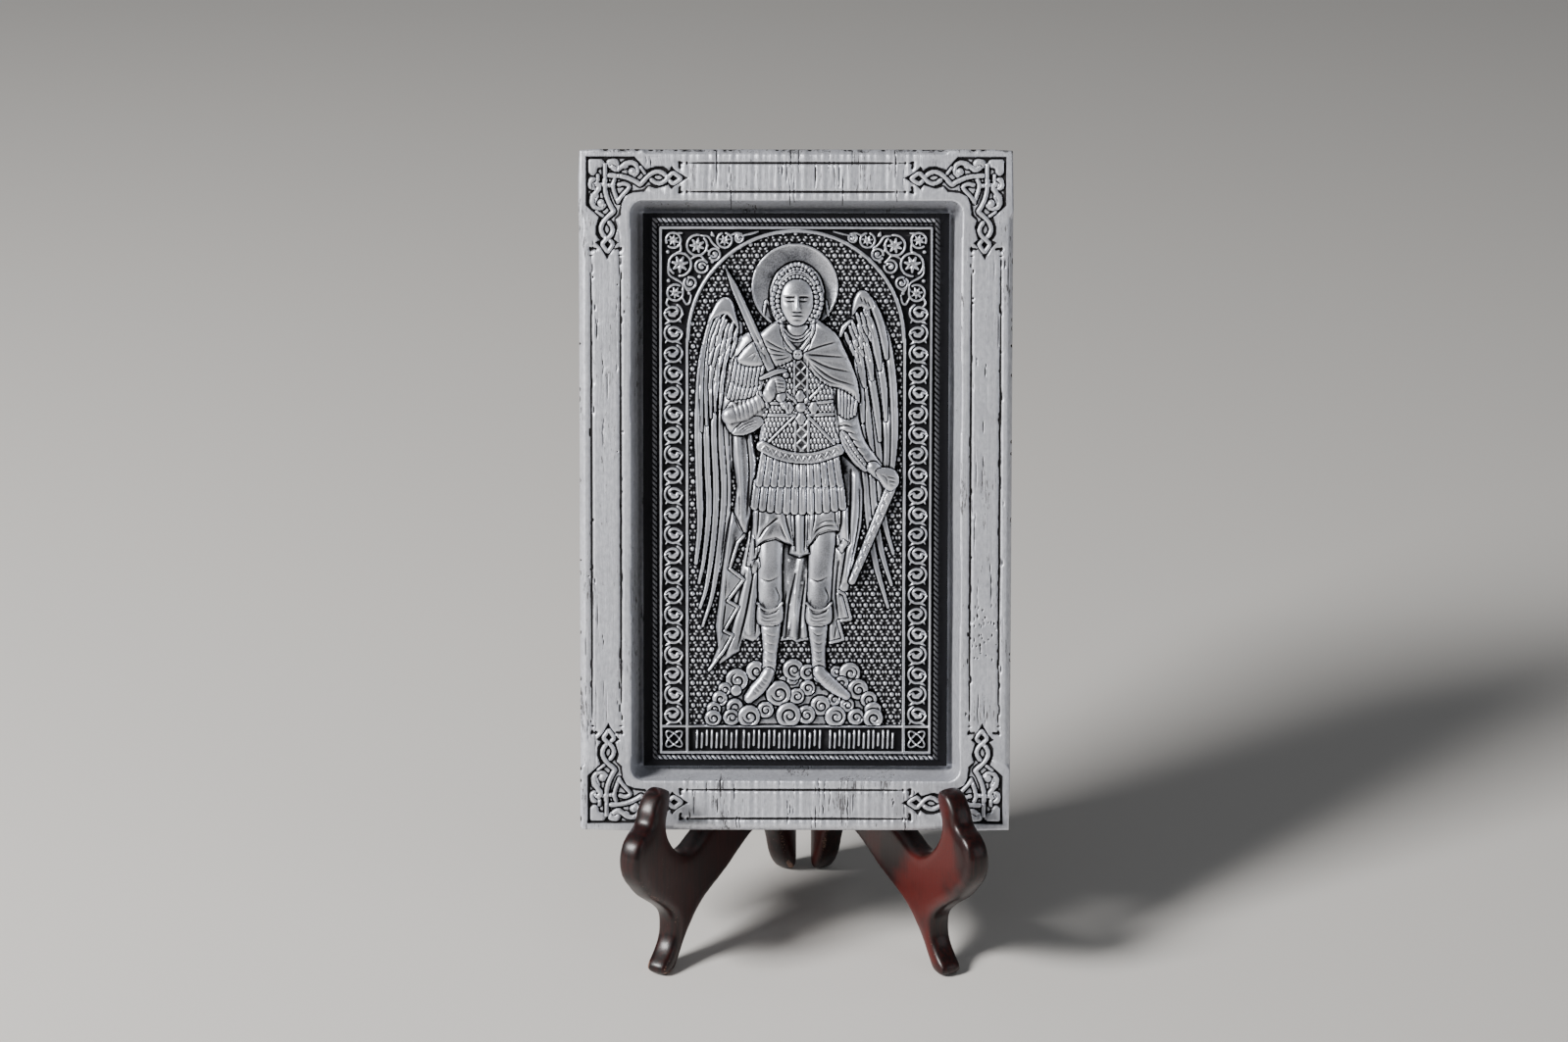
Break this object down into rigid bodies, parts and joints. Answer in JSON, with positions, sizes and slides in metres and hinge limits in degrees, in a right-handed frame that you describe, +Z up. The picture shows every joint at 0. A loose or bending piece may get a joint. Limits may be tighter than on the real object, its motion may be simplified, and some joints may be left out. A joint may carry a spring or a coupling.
{
  "type": "icon panel",
  "caption": "Upright carved board with a cast relief plaque in its sunk window, leaning on a folding two-winged wooden stand.",
  "frame": {"origin": "on the surface that the stand's feet rest on, at the centre of the whole object's box", "axes": "+Z up, the icon's front towards -Y, +X to the viewer's right"},
  "size_m": [0.126, 0.0984, 0.2349],
  "materials": {
    "silvered_wood": "silvered over open-grained wood, dark patina left in the cracks and cut lines",
    "cast_silver": "satin cast silver with blackened ground",
    "stained_wood": "gloss red-brown stained wood, worn at the edges",
    "hinge_brass": "plain brass, slightly dulled"
  },
  "bodies": {
    "icon_and_left_wing": {"frame_board": "silvered_wood", "relief_plaque": "cast_silver", "left_wing": "stained_wood", "lower_hinge_left_leaf": "hinge_brass", "upper_hinge_left_leaf": "hinge_brass", "lower_hinge_pin": "hinge_brass", "upper_hinge_pin": "hinge_brass"},
    "right_wing": {"right_wing": "stained_wood", "lower_hinge_right_leaf": "hinge_brass", "upper_hinge_right_leaf": "hinge_brass"}
  },
  "joints": [
    {"name": "stand_hinge", "type": "hinge", "parent": "icon_and_left_wing", "child": "right_wing", "pos_m": [0.0026, 0.03675, 0], "axis": [0, 0, 1], "range_deg": [0, 2]}
  ]
}
